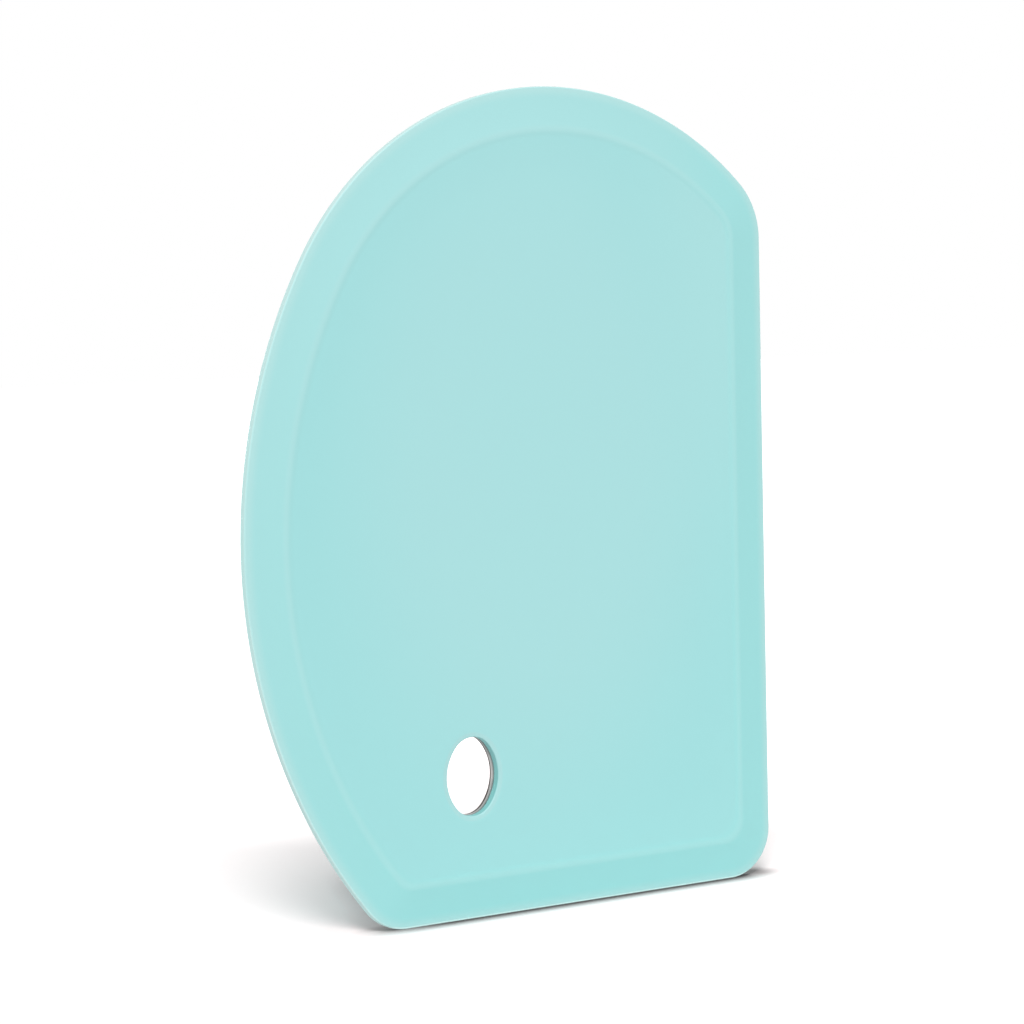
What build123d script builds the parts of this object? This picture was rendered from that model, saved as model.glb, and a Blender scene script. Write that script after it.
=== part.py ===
"""A bowl scraper: a stiff steel core inside a silicone jacket with a soft scraping rim.

The scraper stands on its short straight edge. X runs along its width, with the long straight
edge at +X and the curved side at -X. The front face looks towards -Y. Z runs up its height.
"""

from build123d import *
import os
from math import atan2, cos, degrees, radians, sin

# Outline, in the plane of the scraper
width = 105.0
height = 140.0
shoulder_radius = 13.6
toe_radius = 8.4
heel_radius = 9.0
least_corner_radius = 4.0

# Where the outline is widest and highest, and how far each arc turns, in degrees
belly_height_share = 0.458
peak_width_share = 0.577
flank_turn = 29
shoulder_turn = 46
heel_turn = 39

# Section of the rim, from the outer edge to the crest and down to the panel
edge_thickness = 1.6
edge_rounding = 0.3
rim_width = 7.1
crest_thickness = 3.6
dish_width = 7.0
dish_bend_width_share = 0.16
dish_bend_depth_share = 0.5

# Layers of the panel, from the front face to the back
front_skin = 1.5
core_thickness = 1.3
back_skin = 0.4

# Oval hole for hanging the scraper up
hole_width = 10.2
hole_height = 13.4
hole_end_radius_share = 0.41
hole_from_curved_side = 41.7
hole_from_bottom = 24.3
front_hole_rounding = 0.2
bare_ring_width = 0.8
bare_ring_bevel = 0.2

# Steel core and the row of holes that locks the silicone to it
core_margin = 1.5
lock_hole_diameter = 4.0
lock_hole_margin = 4.0
lock_hole_count = 12

panel_thickness = front_skin + core_thickness + back_skin
edge_half = edge_thickness / 2
crest_half = crest_thickness / 2
panel_half = panel_thickness / 2
dish_depth = crest_half - panel_half
core_inset = rim_width + core_margin
hole_centre = (hole_from_curved_side - width / 2, hole_from_bottom)


def draw_outline(inset):
    """Draw the outline, moved inwards by inset, as arcs and lines that run smoothly together."""
    left, right = inset - width / 2, width / 2 - inset
    bottom, top = inset, height - inset
    belly = belly_height_share * height
    peak = (peak_width_share - 1 / 2) * width
    shoulder = max(shoulder_radius - inset, least_corner_radius)
    toe = max(toe_radius - inset, least_corner_radius)
    heel = max(heel_radius - inset, least_corner_radius)

    # From the belly to the peak: two arcs, flank and crown, that together turn a quarter circle
    turn = radians(flank_turn)
    across, up = peak - left, top - belly
    share = cos(turn) * sin(turn) - (1 - cos(turn)) * (1 - sin(turn))
    flank = (up * cos(turn) - across * (1 - sin(turn))) / share
    crown = (across * sin(turn) - up * (1 - cos(turn))) / share

    # From the peak to the long edge: an arc that leaves the rest of the turn to the shoulder
    turn = radians(shoulder_turn)
    brow = (right - peak - shoulder * (1 - cos(turn))) / cos(turn)
    shoulder_height = top - brow * (1 - sin(turn)) - shoulder * sin(turn)

    # From the belly down to the short edge: an arc that ends in the heel
    turn = radians(heel_turn)
    haunch = (belly - bottom - heel * (1 - sin(turn))) / sin(turn)
    heel_place = left + haunch - (haunch - heel) * cos(turn)

    CenterArc((right - toe, bottom + toe), toe, -90, 90)
    Line((right, bottom + toe), (right, shoulder_height))
    CenterArc((right - shoulder, shoulder_height), shoulder, 0, shoulder_turn)
    CenterArc((peak, top - brow), brow, shoulder_turn, 90 - shoulder_turn)
    CenterArc((peak, top - crown), crown, 90, 90 - flank_turn)
    CenterArc((left + flank, belly), flank, 180 - flank_turn, flank_turn)
    CenterArc((left + haunch, belly), haunch, 180, heel_turn)
    CenterArc((heel_place, bottom + heel), heel, 180 + heel_turn, 90 - heel_turn)
    Line((heel_place, bottom), (right - toe, bottom))


def draw_hole(grown):
    """Draw the oval hole, grown outwards all round, as four arcs that run smoothly together."""
    x, z = hole_centre
    half = hole_width / 2
    end = hole_end_radius_share * hole_width
    up = hole_height / 2 - end
    side = end + ((half - end) ** 2 + up**2) / (half - end) / 2
    turn = degrees(atan2(up, side - half))
    CenterArc((x + half - side, z), side + grown, -turn, 2 * turn)
    CenterArc((x, z + up), end + grown, turn, 180 - 2 * turn)
    CenterArc((x + side - half, z), side + grown, 180 - turn, 2 * turn)
    CenterArc((x, z - up), end + grown, 180 + turn, 180 - 2 * turn)


# Steel core: a flat blank, nearer the back face, with a row of lock holes inside its edge
with BuildLine() as lock_line:
    draw_outline(core_inset + lock_hole_margin)
lock_places = [lock_line.wire() @ (i / lock_hole_count) for i in range(lock_hole_count)]
core_front = panel_half - front_skin

with BuildPart() as steel_core:
    with BuildSketch(Plane.XZ.offset(core_front)):
        with BuildLine():
            draw_outline(core_inset)
        make_face()
        with BuildLine():
            draw_hole(0)
        make_face(mode=Mode.SUBTRACT)
        with Locations(*lock_places):
            Circle(lock_hole_diameter / 2, mode=Mode.SUBTRACT)
    extrude(amount=-core_thickness)

# Silicone jacket: a bevelled plate with a shallow dish in each face, moulded over the core
with BuildPart() as silicone_jacket:
    with BuildSketch(Plane.XZ):
        with BuildLine():
            draw_outline(0)
        make_face()
    extrude(amount=edge_half)
    fillet(silicone_jacket.faces().sort_by(Axis.Y)[0].edges(), edge_rounding)
    for inset, level in ((edge_rounding, edge_half), (rim_width, crest_half)):
        with BuildSketch(Plane.XZ.offset(level)):
            with BuildLine():
                draw_outline(inset)
            make_face()
    loft(ruled=True)
    dish_levels = (
        (0, 0),
        (dish_bend_width_share * dish_width, dish_bend_depth_share * dish_depth),
        (dish_width, dish_depth),
    )
    for across_slope, depth in dish_levels:
        with BuildSketch(Plane.XZ.offset(crest_half - depth)):
            with BuildLine():
                draw_outline(rim_width + across_slope)
            make_face()
    loft(ruled=True, mode=Mode.SUBTRACT)
    mirror(about=Plane.XZ)
    for grown, start in ((0, crest_half), (bare_ring_width, core_front - core_thickness)):
        with BuildSketch(Plane.XZ.offset(start)):
            with BuildLine():
                draw_hole(grown)
            make_face()
        extrude(amount=-crest_thickness, mode=Mode.SUBTRACT)
    front_panel = silicone_jacket.faces().filter_by(Axis.Y).sort_by(Axis.Y)[0]
    fillet(front_panel.inner_wires()[0].edges(), front_hole_rounding)
    back_panel = silicone_jacket.faces().filter_by(Axis.Y).sort_by(Axis.Y)[-1]
    chamfer(back_panel.inner_wires()[0].edges(), bare_ring_bevel)
    add(steel_core.part, mode=Mode.SUBTRACT)

os.makedirs("parts", exist_ok=True)
for name, piece in (("steel_core", steel_core), ("silicone_jacket", silicone_jacket)):
    piece.part.label = name
    export_step(piece.part, f"parts/{name}.step")
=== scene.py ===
"""Dresses the bowl scraper: satin silicone over a steel core, standing on a pale studio floor."""

from math import atan2, cos, pi, radians, sin, sqrt

import bpy
from mathutils import Matrix, Vector


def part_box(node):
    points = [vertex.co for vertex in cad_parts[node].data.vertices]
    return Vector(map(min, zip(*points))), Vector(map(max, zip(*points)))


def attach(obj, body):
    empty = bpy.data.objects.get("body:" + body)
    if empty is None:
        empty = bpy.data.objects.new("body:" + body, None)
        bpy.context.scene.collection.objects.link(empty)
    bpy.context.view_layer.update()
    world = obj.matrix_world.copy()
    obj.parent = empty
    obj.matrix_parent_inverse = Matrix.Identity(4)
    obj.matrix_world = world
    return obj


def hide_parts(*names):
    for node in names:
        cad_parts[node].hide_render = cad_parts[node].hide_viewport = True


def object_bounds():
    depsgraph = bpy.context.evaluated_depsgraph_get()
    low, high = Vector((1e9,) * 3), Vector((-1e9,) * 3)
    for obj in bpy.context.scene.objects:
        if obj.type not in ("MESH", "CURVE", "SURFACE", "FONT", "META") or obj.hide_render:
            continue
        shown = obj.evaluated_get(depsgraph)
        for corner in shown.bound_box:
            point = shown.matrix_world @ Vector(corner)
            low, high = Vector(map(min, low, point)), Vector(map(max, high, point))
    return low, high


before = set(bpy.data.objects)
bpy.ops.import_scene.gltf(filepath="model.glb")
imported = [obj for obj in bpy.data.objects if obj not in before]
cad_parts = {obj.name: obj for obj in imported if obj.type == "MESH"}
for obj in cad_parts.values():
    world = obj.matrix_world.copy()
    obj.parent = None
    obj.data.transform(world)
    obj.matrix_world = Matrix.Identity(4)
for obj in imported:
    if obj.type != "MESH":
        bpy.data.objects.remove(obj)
cad_low, cad_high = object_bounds()
jacket_low, jacket_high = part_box("silicone_jacket")
core_low, core_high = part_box("steel_core")

# Overall sizes, from the frame
left_side, right_side = jacket_low.x, jacket_high.x
width = right_side - left_side
height = jacket_high.z - jacket_low.z
crest_half = (jacket_high.y - jacket_low.y) / 2
core_inset = core_low.x - left_side

# Outline of the scraper, in metres and degrees
shoulder_radius = 0.0136
toe_radius = 0.0084
heel_radius = 0.0090
least_corner_radius = 0.0040
belly_height_share = 0.458
peak_width_share = 0.577
flank_turn = 29
shoulder_turn = 46
heel_turn = 39

# Section of the rim and the panel
edge_half = 0.0008
panel_half = 0.0016
edge_rounding = 0.0003
rim_width = 0.0071
dish_width = 0.0070
dish_bend_width_share = 0.16
dish_bend_depth_share = 0.5
crest_reach = 0.0008
bend_reach = 0.0003
panel_reach = 0.0012
flat_run_share = 1.5

# Oval hole for hanging the scraper up
hole_width = 0.0102
hole_height = 0.0134
hole_end_radius_share = 0.41
hole_centre = Vector((left_side + 0.0417, 0.0243))
front_hole_rounding = 0.0002
mouth_slope_width = 0.0008
mouth_slope_depth = 0.00006
mouth_reach_share = 0.4
bare_ring_width = 0.0008
bare_ring_bevel = 0.0002
bevel_reach_share = 0.3
lip_rounding = 0.00012

# How finely the surfaces are divided
station_count = 420
trial_steps = 60
rounding_steps = 8
lip_steps = 4
panel_steps = 14
panel_crowding = 0.6


def arc(x, z, radius, start, turn):
    """An arc as its turn and a function that gives the point a share of the way along it."""

    def point(share):
        angle = radians(start + turn * share)
        return Vector((x + radius * cos(angle), z + radius * sin(angle)))

    return radians(turn), point


def line(x0, z0, x1, z1):
    """A line as its turn, which is none, and a function like an arc's."""
    return 0.0, lambda share: Vector((x0 + (x1 - x0) * share, z0 + (z1 - z0) * share))


def outline(inset):
    """The outline, moved inwards by inset, as arcs and lines that run smoothly together."""
    left, right = left_side + inset, right_side - inset
    bottom, top = inset, height - inset
    belly = belly_height_share * height
    peak = (peak_width_share - 1 / 2) * width
    shoulder = max(shoulder_radius - inset, least_corner_radius)
    toe = max(toe_radius - inset, least_corner_radius)
    heel = max(heel_radius - inset, least_corner_radius)

    # From the belly to the peak, two arcs together turn a quarter circle
    turn = radians(flank_turn)
    across, up = peak - left, top - belly
    share = cos(turn) * sin(turn) - (1 - cos(turn)) * (1 - sin(turn))
    flank = (up * cos(turn) - across * (1 - sin(turn))) / share
    crown = (across * sin(turn) - up * (1 - cos(turn))) / share

    # From the peak to the long edge, the brow leaves the rest of the turn to the shoulder
    turn = radians(shoulder_turn)
    brow = (right - peak - shoulder * (1 - cos(turn))) / cos(turn)
    shoulder_height = top - brow * (1 - sin(turn)) - shoulder * sin(turn)

    # From the belly down to the short edge, the haunch ends in the heel
    turn = radians(heel_turn)
    haunch = (belly - bottom - heel * (1 - sin(turn))) / sin(turn)
    heel_place = left + haunch - (haunch - heel) * cos(turn)

    return [
        arc(right - toe, bottom + toe, toe, -90, 90),
        line(right, bottom + toe, right, shoulder_height),
        arc(right - shoulder, shoulder_height, shoulder, 0, shoulder_turn),
        arc(peak, top - brow, brow, shoulder_turn, 90 - shoulder_turn),
        arc(peak, top - crown, crown, 90, 90 - flank_turn),
        arc(left + flank, belly, flank, 180 - flank_turn, flank_turn),
        arc(left + haunch, belly, haunch, 180, heel_turn),
        arc(heel_place, bottom + heel, heel, 180 + heel_turn, 90 - heel_turn),
        line(heel_place, bottom, right - toe, bottom),
    ]


def place_stations():
    """Spread the stations by length, by turn and by the hole's view, as (piece, share)."""
    steps = []
    for number, (turn, point) in enumerate(outline(0)):
        for i in range(trial_steps):
            start, end = point(i / trial_steps), point((i + 1) / trial_steps)
            seen = abs((start - hole_centre).angle_signed(end - hole_centre))
            steps.append((number, i, (end - start).length, turn / trial_steps, seen))
    perimeter = sum(step[2] for step in steps)
    stations, passed = [], 0.0
    for number, i, length, turn, seen in steps:
        weight = (length / perimeter + (turn + seen) / (2 * pi)) / 3 * station_count
        while len(stations) < passed + weight:
            part = (len(stations) - passed) / weight
            stations.append((number, (i + part) / trial_steps))
        passed += weight
    return stations[:station_count]


def hole_point(direction, grown):
    """Where a ray from the middle of the hole meets the oval, grown outwards all round."""
    half, end = hole_width / 2, hole_end_radius_share * hole_width
    up = hole_height / 2 - end
    side = end + ((half - end) ** 2 + up**2) / (half - end) / 2
    join = atan2(up, side - half)
    join_point = Vector((half - side + (side + grown) * cos(join), (side + grown) * sin(join)))
    x, z = abs(direction.x), abs(direction.y)
    if z * join_point.x < x * join_point.y:
        centre, radius = Vector((half - side, 0)), side + grown
    else:
        centre, radius = Vector((0, up)), end + grown
    along = x * centre.x + z * centre.y
    reach = along + sqrt(along**2 - centre.length_squared + radius**2)
    return hole_centre + direction * reach


def rounded(corners, reaches):
    """A line of corners with each inner corner rounded from a reach before it to one after it."""
    points = [corners[0]]
    for before, corner, after, reach in zip(corners, corners[1:], corners[2:], reaches):
        start = corner + (before - corner).normalized() * reach
        end = corner + (after - corner).normalized() * reach
        for i in range(rounding_steps + 1):
            share = i / rounding_steps
            points.append(start.lerp(corner, share).lerp(corner.lerp(end, share), share))
    return points + [corners[-1]]


# Half of the section: how far in from the outline, and how far from the middle plane
bend_inset = rim_width + dish_bend_width_share * dish_width
bend_half = crest_half - dish_bend_depth_share * (crest_half - panel_half)
edge_arc = [
    Vector((edge_rounding * (1 - cos(a)), edge_half - edge_rounding * (1 - sin(a))))
    for a in (pi / 2 * i / (2 * rounding_steps) for i in range(2 * rounding_steps))
]
relief = rounded(
    [
        Vector((edge_rounding, edge_half)),
        Vector((rim_width, crest_half)),
        Vector((bend_inset, bend_half)),
        Vector((rim_width + dish_width, panel_half)),
        Vector((rim_width + dish_width + flat_run_share * panel_reach, panel_half)),
    ],
    [crest_reach, bend_reach, panel_reach],
)
half_section = [Vector((0, 0))] + edge_arc + relief

# The mouths of the hole: how far out from its wall, and how far below the panel
slope_bottom = Vector((front_hole_rounding, mouth_slope_depth))
front_mouth = rounded(
    [
        Vector((front_hole_rounding + flat_run_share * mouth_slope_width, 0)),
        Vector((front_hole_rounding + mouth_slope_width, 0)),
        slope_bottom,
    ],
    [mouth_reach_share * mouth_slope_width],
)
front_mouth += [
    Vector((slope_bottom.x * (1 - sin(a)), slope_bottom.y + front_hole_rounding * (1 - cos(a))))
    for a in (pi / 2 * i / rounding_steps for i in range(1, rounding_steps + 1))
]
back_mouth = rounded(
    [
        Vector((bare_ring_width + flat_run_share * bare_ring_bevel, 0)),
        Vector((bare_ring_width + bare_ring_bevel, 0)),
        Vector((bare_ring_width, bare_ring_bevel)),
    ],
    [bevel_reach_share * bare_ring_bevel],
)

stations = place_stations()
vertices, faces, from_edge, in_mouth = [], [], [], []


def add_ring(points, y, edge_distance, mouth_depth=0.0):
    """Add one closed ring of vertices and return its first vertex's number."""
    first = len(vertices)
    vertices.extend((p.x, y, p.y) for p in points)
    from_edge.extend([edge_distance] * len(points))
    in_mouth.extend([mouth_depth] * len(points))
    return first


def add_band(ring, next_ring):
    """Join two rings with a band of quads."""
    for i in range(station_count):
        j = (i + 1) % station_count
        faces.append((ring + i, ring + j, next_ring + j, next_ring + i))


def outline_ring(inset):
    """One point for each station on the outline, moved inwards by inset."""
    pieces = outline(inset)
    return [pieces[number][1](share) for number, share in stations]


def hole_ring(grown):
    """One point for each station on the oval of the hole, grown outwards all round."""
    return [hole_point(direction, grown) for direction in hole_directions]


panel_ring = outline_ring(half_section[-1].x)
hole_directions = [(point - hole_centre).normalized() for point in panel_ring]


def face_rings(side, mouth, interface):
    """Rings of one face, side -1 for the front and 1 for the back, from the edge to the core."""
    rings = []
    for section in half_section[1:]:
        rings.append(add_ring(outline_ring(section.x), side * section.y, section.x))
    rim = hole_ring(mouth[0].x)
    for i in range(1, panel_steps):
        share = (i / panel_steps) ** panel_crowding
        ring = [outer.lerp(inner, share) for outer, inner in zip(panel_ring, rim)]
        rings.append(add_ring(ring, side * panel_half, half_section[-1].x))
    for step in mouth:
        y = side * (panel_half - step.y)
        rings.append(add_ring(hole_ring(step.x), y, half_section[-1].x, step.y))
    wall = mouth[-1].x
    for i in range(lip_steps + 1):
        angle = pi / 2 * i / lip_steps
        ring = hole_ring(wall + lip_rounding * (1 - cos(angle)))
        y = interface + side * lip_rounding * (1 - sin(angle))
        rings.append(add_ring(ring, y, half_section[-1].x, panel_half - side * interface))
    rings.append(add_ring(outline_ring(core_inset), interface, core_inset))
    return rings


middle = add_ring(outline_ring(0), 0.0, 0.0)
front = [middle] + face_rings(-1, front_mouth, core_low.y)
back = [middle] + face_rings(1, back_mouth, core_high.y)
for ring, next_ring in zip(front, front[1:]):
    add_band(ring, next_ring)
for ring, next_ring in zip(back, back[1:]):
    add_band(next_ring, ring)
add_band(front[-1], back[-1])

mesh = bpy.data.meshes.new("silicone_body")
mesh.from_pydata(vertices, [], faces)
for name, values in (("from_edge", from_edge), ("in_mouth", in_mouth)):
    mesh.attributes.new(name, "FLOAT", "POINT").data.foreach_set("value", values)
mesh.shade_smooth()
silicone_body = bpy.data.objects.new("silicone_body", mesh)
bpy.context.scene.collection.objects.link(silicone_body)


def node(tree, kind, inputs=(), **settings):
    """Add a shader node, set its settings and give its inputs their values or links."""
    made = tree.nodes.new(kind)
    for key, value in settings.items():
        setattr(made, key, value)
    for key, value in dict(inputs).items():
        if isinstance(value, bpy.types.NodeSocket):
            tree.links.new(value, made.inputs[key])
        else:
            made.inputs[key].default_value = value
    return made


def calculate(tree, operation, *numbers):
    """Put numbers through a math node and return the result's socket."""
    return node(tree, "ShaderNodeMath", enumerate(numbers), operation=operation).outputs[0]


def product(tree, *masks):
    """Multiply two or more masks."""
    result = masks[0]
    for mask in masks[1:]:
        result = calculate(tree, "MULTIPLY", result, mask)
    return result


def distance_along(tree, place, direction):
    """How far a place lies along a direction."""
    made = node(tree, "ShaderNodeVectorMath", {0: place, 1: direction}, operation="DOT_PRODUCT")
    return made.outputs["Value"]


def from_centre(tree, place, centre, half_axes):
    """How far out a place lies, 1 on an oval with these half axes. An axis of 0 doesn't count."""
    scales = [1 / half if half else 0 for half in half_axes]
    offset = node(tree, "ShaderNodeVectorMath", {0: place, 1: centre}, operation="SUBTRACT")
    scaled = {0: offset.outputs[0], 1: scales}
    scaled = node(tree, "ShaderNodeVectorMath", scaled, operation="MULTIPLY").outputs[0]
    return node(tree, "ShaderNodeVectorMath", {0: scaled}, operation="LENGTH").outputs["Value"]


def axes(tree, vector):
    """The parts of a vector along X, Y and Z."""
    return node(tree, "ShaderNodeSeparateXYZ", {"Vector": vector}).outputs


def mix(tree, factor, first, second):
    """Mix two colours by a factor and return the result's socket."""
    inputs = {"Factor": factor, 6: first, 7: second}
    return node(tree, "ShaderNodeMix", inputs, data_type="RGBA").outputs[2]


def ramp(tree, value, span, levels, interpolation="SMOOTHSTEP"):
    """Go from the first level to the second while the value passes through the span."""
    names = ("From Min", "From Max", "To Min", "To Max")
    inputs = dict(zip(names, (*span, *levels)), Value=value)
    made = node(tree, "ShaderNodeMapRange", inputs, interpolation_type=interpolation)
    return made.outputs["Result"]


def attribute(tree, name):
    """A number that the mesh holds for each of its points."""
    return node(tree, "ShaderNodeAttribute", attribute_name=name).outputs["Fac"]


def noise(tree, place, scale, detail, roughness=0.5):
    """A random pattern from 0 to 1 that stays in place on the piece."""
    inputs = {"Vector": place, "Scale": scale, "Detail": detail, "Roughness": roughness}
    return node(tree, "ShaderNodeTexNoise", inputs).outputs["Fac"]


def openness(tree, distance):
    """How open a place is, from 0 to 1, to what lies within a distance of it."""
    return node(tree, "ShaderNodeAmbientOcclusion", {"Distance": distance}).outputs["AO"]


def seen_or_mirrored(tree):
    """A mask that is 1 for what is seen by the camera, in a reflection or through glass."""
    paths = node(tree, "ShaderNodeLightPath").outputs
    seen = calculate(tree, "MAXIMUM", paths["Is Camera Ray"], paths["Is Glossy Ray"])
    return calculate(tree, "MAXIMUM", seen, paths["Is Transmission Ray"])


def new_material(name):
    """Make an empty material and return it with its tree."""
    material = bpy.data.materials.new(name)
    material.use_nodes = True
    material.node_tree.nodes.clear()
    return material, material.node_tree


# Rim and panel of the silicone: painted light makes the rim paler and greyer up and to the left,
# less so at the right, and the panel is greyer than the rim, most of all in the middle and at the
# upper right
low_rim_colour = (0.345, 0.737, 0.733, 1)
painted_light_rim_colour = (0.388, 0.717, 0.717, 1)
panel_colour = (0.365, 0.730, 0.732, 1)
light_panel_colour = (0.400, 0.737, 0.737, 1)
middle_colour = (0.403, 0.733, 0.737, 1)
up_left = (-0.53, 0, 0.85)
rise_span = (0, 0.120)
right_rim_span, right_rim_levels = (0.030, 0.048), (1, 0.45)
upper_span, right_panel_span = (0.040, 0.105), (0.018, 0.040)
panel_span = (0.0070, 0.0088)
middle_centre, middle_half_axes = (0.003, 0, 0.078), (0.042, 0, 0.068)
middle_span = (0.45, 1.15)


def rim_and_panel(tree, place, edge_distance):
    """Colour of the rim and the panel, with painted light on the rim."""
    place_x, _, place_z = axes(tree, place)
    # Painted light: the rim is paler and greyer up and to the left, less so at the right
    rim_painted_light = ramp(tree, distance_along(tree, place, up_left), rise_span, (0, 1), "LINEAR")
    rim_painted_light = product(tree, rim_painted_light, ramp(tree, place_x, right_rim_span, right_rim_levels))
    rim = mix(tree, rim_painted_light, low_rim_colour, painted_light_rim_colour)
    upper = ramp(tree, place_z, upper_span, (0, 1))
    upper_right = product(tree, upper, ramp(tree, place_x, right_panel_span, (0, 1)))
    panel = mix(tree, upper_right, panel_colour, light_panel_colour)
    colour = mix(tree, ramp(tree, edge_distance, panel_span, (0, 1)), rim, panel)
    spread = from_centre(tree, place, middle_centre, middle_half_axes)
    return mix(tree, ramp(tree, spread, middle_span, (1, 0)), colour, middle_colour)


# Edge and crest of the silicone, in painted light: a pale glow where the rim is thin, palest on the
# very edge, a painted highlight where it turns down or stands on the floor, and a faint painted
# highlight along the crest
thin_glow_colour = (0.510, 0.762, 0.750, 1)
low_lit_edge_colour = (0.560, 0.860, 0.840, 1)
high_lit_edge_colour = (0.560, 0.770, 0.755, 1)
under_highlight_colour = (0.760, 1.000, 0.980, 1)
crest_highlight_colour = (0.480, 0.780, 0.775, 1)
thin_span, thin_levels = (0, 0.0021), (0.60, 0)
edge_span, high_edge_span = (0.00001, 0.00012), (0.080, 0.120)
rounding_span = (0.00026, 0.00042)
near_floor_span, turned_down_span, half_levels = (0.0003, 0.0009), (-0.30, 0), (0.5, 0)
crest_span, crest_levels = (0.0001, 0.0009), (0.30, 0)


def edge_and_crest(tree, colour, texture_place, edge_distance):
    """Add the painted light of the edge and the crest to a colour."""
    place, normal = texture_place["Object"], texture_place["Normal"]
    # Painted glow where the rim is thin
    colour = mix(tree, ramp(tree, edge_distance, thin_span, thin_levels), colour, thin_glow_colour)
    # Painted light on the very edge, brighter lower down
    high = ramp(tree, distance_along(tree, place, up_left), high_edge_span, (0, 1), "LINEAR")
    edge = mix(tree, high, low_lit_edge_colour, high_lit_edge_colour)
    colour = mix(tree, ramp(tree, edge_distance, edge_span, (1, 0)), colour, edge)
    # Painted highlight where the edge turns down or stands on the floor
    near_floor = ramp(tree, axes(tree, place)["Z"], near_floor_span, half_levels)
    turned_down = ramp(tree, axes(tree, normal)["Z"], turned_down_span, half_levels)
    under = calculate(tree, "ADD", near_floor, turned_down)
    under = product(tree, ramp(tree, edge_distance, rounding_span, (1, 0)), under)
    colour = mix(tree, under, colour, under_highlight_colour)
    # Painted highlight along the crest
    from_crest = calculate(tree, "SUBTRACT", edge_distance, rim_width)
    from_crest = calculate(tree, "ABSOLUTE", from_crest)
    return mix(tree, ramp(tree, from_crest, crest_span, crest_levels), colour, crest_highlight_colour)


# Hole through the silicone: a painted highlight round its mouth and painted shade in its wall,
# darker towards the bottom
mouth_highlight_colour = (0.470, 0.715, 0.712, 1)
low_wall_shade_colour = (0.174, 0.530, 0.522, 1)
high_wall_shade_colour = (0.330, 0.750, 0.740, 1)
ring_span, ring_levels = (0.000003, 0.00003), (0, 0.48)
wall_span, wall_levels = (0.00004, 0.0004), (0, 0.85)
wall_rise_span = (0.0225, 0.0300)


def hole_mouth(tree, colour, place):
    """Add the painted highlight of the mouth and the painted shade of the hole's wall to a colour.
    """
    mouth_depth = attribute(tree, "in_mouth")
    # Painted highlight round the mouth
    colour = mix(tree, ramp(tree, mouth_depth, ring_span, ring_levels), colour, mouth_highlight_colour)
    # Painted shade in the wall, darker towards the bottom
    wall_rise = ramp(tree, axes(tree, place)["Z"], wall_rise_span, (0, 1))
    wall = mix(tree, wall_rise, low_wall_shade_colour, high_wall_shade_colour)
    return mix(tree, ramp(tree, mouth_depth, wall_span, wall_levels), colour, wall)


# Texture of the silicone: a fine grain, and a faint cloudiness in its colour and roughness
cloud_colour = (0.400, 0.780, 0.770, 1)
cloud_scale, cloud_span, cloud_levels = 38, (0.3, 0.7), (0, 0.08)
grain_scale, grain_depth, grain_strength = 3200, 0.0001, 0.08
silicone_roughness, silicone_index = (0.46, 0.54), 1.41


def satin_silicone():
    """Satin silicone, pale aqua."""
    material, tree = new_material("satin_silicone")
    edge_distance = attribute(tree, "from_edge")
    texture_place = node(tree, "ShaderNodeTexCoord").outputs
    place = texture_place["Object"]
    colour = rim_and_panel(tree, place, edge_distance)
    colour = edge_and_crest(tree, colour, texture_place, edge_distance)
    cloud = noise(tree, place, cloud_scale, 4, 0.55)
    colour = mix(tree, ramp(tree, cloud, cloud_span, cloud_levels, "LINEAR"), colour, cloud_colour)
    colour = hole_mouth(tree, colour, place)
    grain = noise(tree, place, grain_scale, 3, 0.6)
    bump = {"Height": grain, "Strength": grain_strength, "Distance": grain_depth}
    inputs = {
        "Base Color": colour,
        "Roughness": ramp(tree, cloud, cloud_span, silicone_roughness, "LINEAR"),
        "IOR": silicone_index,
        "Normal": node(tree, "ShaderNodeBump", bump).outputs["Normal"],
    }
    surface = node(tree, "ShaderNodeBsdfPrincipled", inputs)
    node(tree, "ShaderNodeOutputMaterial", {"Surface": surface.outputs["BSDF"]})
    return material


# Steel: the brushed sheet and, in its punched edge, from back to front, a painted dark reflection
# that widens down the hole, a bright band and painted shade. Two colours are the darkest and
# lightest brushing.
sheet_colours = (0.60, 0.60, 0.59, 1), (0.72, 0.72, 0.71, 1)
bright_colours = (0.39, 0.41, 0.40, 1), (0.49, 0.50, 0.49, 1)
front_shade_colour = (0.15, 0.20, 0.20, 1)
back_reflection_colour = (0.09, 0.08, 0.075, 1)
front_shade_span = (core_low.y, core_low.y + 0.0007)
back_reflection_span = (core_high.y - 0.0004, core_high.y - 0.00025)
back_reflection_rise_span, back_reflection_widening_levels = (0.019, 0.024), (0.0002, 0)
sheet_facing_span = (0.4, 0.6)
brush_scale, brush_span = (400, 9000, 400), (0.3, 0.7)
steel_roughness = (0.25, 0.40)


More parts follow.
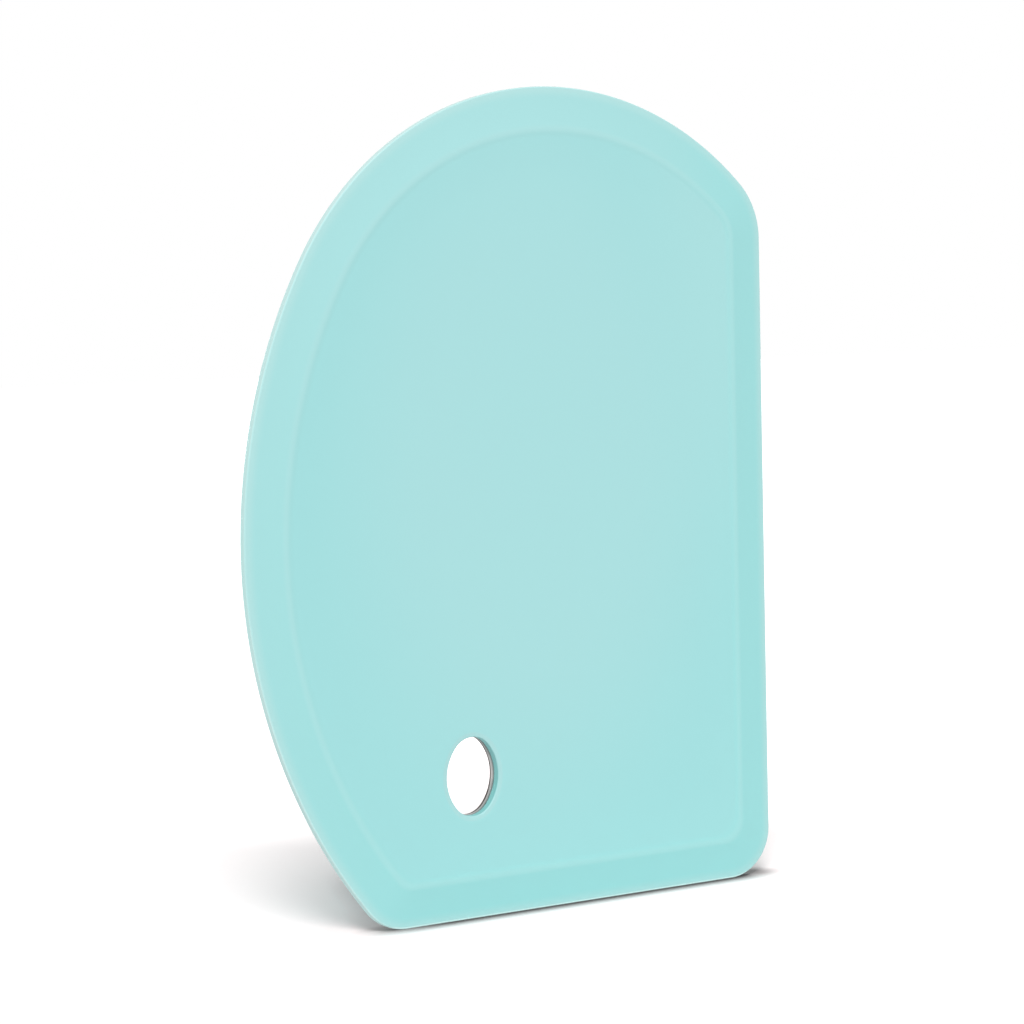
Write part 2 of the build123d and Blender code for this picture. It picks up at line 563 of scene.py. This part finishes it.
def punched_steel():
    """Steel sheet, brushed on its faces and punched along its edges, with painted shade and a
    painted dark reflection in the edge.
    """
    material, tree = new_material("punched_steel")
    texture_place = node(tree, "ShaderNodeTexCoord").outputs
    place, normal = texture_place["Object"], texture_place["Normal"]
    _, across, rise = axes(tree, place)
    lines = node(tree, "ShaderNodeMapping", {"Vector": place, "Scale": brush_scale})
    brushed = noise(tree, lines.outputs["Vector"], 1, 3)
    edge = mix(tree, brushed, *bright_colours)
    # Painted shade along the front of the edge
    edge = mix(tree, ramp(tree, across, front_shade_span, (1, 0)), edge, front_shade_colour)
    # Painted dark reflection along the back of the edge, wider down the hole
    widening = ramp(tree, rise, back_reflection_rise_span, back_reflection_widening_levels)
    back_reflection_place = calculate(tree, "ADD", across, widening)
    edge = mix(tree, ramp(tree, back_reflection_place, back_reflection_span, (0, 1)), edge, back_reflection_colour)
    facing = calculate(tree, "ABSOLUTE", axes(tree, normal)["Y"])
    facing = ramp(tree, facing, sheet_facing_span, (0, 1))
    inputs = {
        "Base Color": mix(tree, facing, edge, mix(tree, brushed, *sheet_colours)),
        "Metallic": 1.0,
        "Roughness": ramp(tree, brushed, brush_span, steel_roughness, "LINEAR"),
    }
    surface = node(tree, "ShaderNodeBsdfPrincipled", inputs)
    node(tree, "ShaderNodeOutputMaterial", {"Surface": surface.outputs["BSDF"]})
    return material


mesh.materials.append(satin_silicone())
steel = punched_steel()
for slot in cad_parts["steel_core"].material_slots:
    slot.material = steel

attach(silicone_body, "root")
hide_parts("silicone_jacket")

# Camera: where the photograph was taken from, by its angles, distance and turn of the picture
camera_azimuth, camera_elevation, camera_roll = radians(-33.07), radians(4.22), radians(-1.307)
camera_distance = 0.5083
camera_target = Vector((-0.00077, 0, 0.0683))
focal_pixels, picture_pixels, sensor_width = 3000, 1024, 36
clip_start, clip_end = 0.01, 50

camera_data = bpy.data.cameras.new("camera")
camera_data.sensor_width = sensor_width
camera_data.lens = focal_pixels / picture_pixels * sensor_width
camera_data.clip_start, camera_data.clip_end = clip_start, clip_end
camera = bpy.data.objects.new("camera", camera_data)
away = Vector(
    (
        sin(camera_azimuth) * cos(camera_elevation),
        -cos(camera_azimuth) * cos(camera_elevation),
        sin(camera_elevation),
    )
)
level = (-away).cross(Vector((0, 0, 1))).normalized()
upright = level.cross(-away)
sideways = level * cos(camera_roll) + upright * sin(camera_roll)
upwards = upright * cos(camera_roll) - level * sin(camera_roll)
turned = Matrix((sideways, upwards, away)).transposed().to_4x4()
camera.matrix_world = Matrix.Translation(camera_target + away * camera_distance) @ turned
bpy.context.scene.collection.objects.link(camera)
bpy.context.scene.camera = camera

# Lamps: a key in front, above and to the left that throws the shadow, and a level fill on the back.
# Each has its name, where it shines from, its strength and its breadth in degrees.
lamps = [
    ("key", Vector((-0.50, -0.82, 1.00)), 2.08, 20),
    ("back_fill", Vector((0, 1.00, 0.03)), 0.65, 3),
]
for name, direction, strength, breadth in lamps:
    lamp_data = bpy.data.lights.new(name, "SUN")
    lamp_data.energy = strength
    lamp_data.angle = radians(breadth)
    lamp = bpy.data.objects.new(name, lamp_data)
    lamp.rotation_mode = "QUATERNION"
    lamp.rotation_quaternion = direction.to_track_quat("Z", "Y")
    bpy.context.scene.collection.objects.link(lamp)

# World: white wherever it is seen or mirrored, and a plain soft light elsewhere
soft_light, white = 0.52, 1.0
world = bpy.data.worlds.new("studio")
world.use_nodes = True
bpy.context.scene.world = world
world_tree = world.node_tree
world_tree.nodes.clear()
shown = seen_or_mirrored(world_tree)
brightness = ramp(world_tree, shown, (0, 1), (soft_light, white), "LINEAR")
sky = node(world_tree, "ShaderNodeBackground", {"Color": (1, 1, 1, 1), "Strength": brightness})
node(world_tree, "ShaderNodeOutputWorld", {"Surface": sky.outputs["Background"]})

# Floor: its colour is plain to the light. Seen, it is white, with painted shade: a wide shade
# behind the scraper, a deeper one at its foot, and a narrow dark line where it touches, fainter at
# the heel and soft at the toe. Far behind it glows with painted light, so that the long shadow
# fades out.
floor_size, floor_gap = 6.0, 0.00002
plain_colour = (0.70, 0.70, 0.70, 1)
lit_colour = (1.0, 0.945, 0.945, 1)
shade_colour = (0.45, 0.10, 0.10, 1)
touch_colour = (0.11, 0.10, 0.10, 1)
foot_colour = (0, 0, 0, 1)
behind_span, before_toe_span = (0, 0.003), (0.025, 0.045)
shade_reach, shade_open_span, shade_levels = 0.030, (0.50, 0.90), (0.30, 0)
touch_reach, touch_open_span = 0.0043, (0.50, 0.98)
heel_span, heel_levels = (-0.034, -0.014), (0.56, 1)
toe_centre, toe_half_axes = (0.0495, 0.001485, 0), (0.0066, 0.0055, 0)
toe_span, toe_levels = (0.20, 1.05), (0.75, 0)
foot_direction, foot_span, foot_levels = (-0.84, 0.345, 0), (0.0225, 0.0288), (0.32, 0)
foot_depth_span = (0.028, 0.055)
far_direction, far_span, glow_levels = (0.50, 0.87, 0), (0.060, 0.104), (0.11, 0.50)


def shaded_floor(tree, place):
    """Colour of the floor where it is seen, with its painted shade."""
    place_x, place_y, _ = axes(tree, place)
    behind = ramp(tree, place_y, behind_span, (0, 1))
    before_toe = ramp(tree, place_x, before_toe_span, (1, 0))
    shade = ramp(tree, openness(tree, shade_reach), shade_open_span, shade_levels, "LINEAR")
    colour = mix(tree, product(tree, shade, behind, before_toe), lit_colour, shade_colour)
    touch = ramp(tree, openness(tree, touch_reach), touch_open_span, (1, 0), "LINEAR")
    touch = product(tree, touch, ramp(tree, place_x, heel_span, heel_levels))
    under_toe = from_centre(tree, place, toe_centre, toe_half_axes)
    touch = calculate(tree, "MAXIMUM", touch, ramp(tree, under_toe, toe_span, toe_levels))
    colour = mix(tree, touch, colour, touch_colour)
    foot = ramp(tree, distance_along(tree, place, foot_direction), foot_span, foot_levels)
    foot = product(tree, foot, ramp(tree, place_y, foot_depth_span, (1, 0)), behind, before_toe)
    return mix(tree, foot, colour, foot_colour)


def pale_floor():
    """A pale floor that keeps the shadow."""
    material, tree = new_material("pale_floor")
    place = node(tree, "ShaderNodeTexCoord").outputs["Object"]
    colour = shaded_floor(tree, place)
    glow = ramp(tree, distance_along(tree, place, far_direction), far_span, glow_levels)
    lit = node(tree, "ShaderNodeBsdfDiffuse", {"Color": colour}).outputs[0]
    lift = node(tree, "ShaderNodeEmission", {"Color": colour, "Strength": glow}).outputs[0]
    seen = node(tree, "ShaderNodeAddShader", {0: lit, 1: lift}).outputs[0]
    plain = node(tree, "ShaderNodeBsdfDiffuse", {"Color": plain_colour}).outputs[0]
    surface = {0: seen_or_mirrored(tree), 1: plain, 2: seen}
    surface = node(tree, "ShaderNodeMixShader", surface).outputs[0]
    node(tree, "ShaderNodeOutputMaterial", {"Surface": surface})
    return material


reach = floor_size / 2
corners = [(-reach, -reach), (reach, -reach), (reach, reach), (-reach, reach)]
floor_mesh = bpy.data.meshes.new("floor")
floor_mesh.from_pydata([(x, y, cad_low.z - floor_gap) for x, y in corners], [], [(0, 1, 2, 3)])
floor_mesh.materials.append(pale_floor())
floor = bpy.data.objects.new("floor", floor_mesh)
bpy.context.scene.collection.objects.link(floor)

bpy.context.scene.view_settings.view_transform = "Standard"
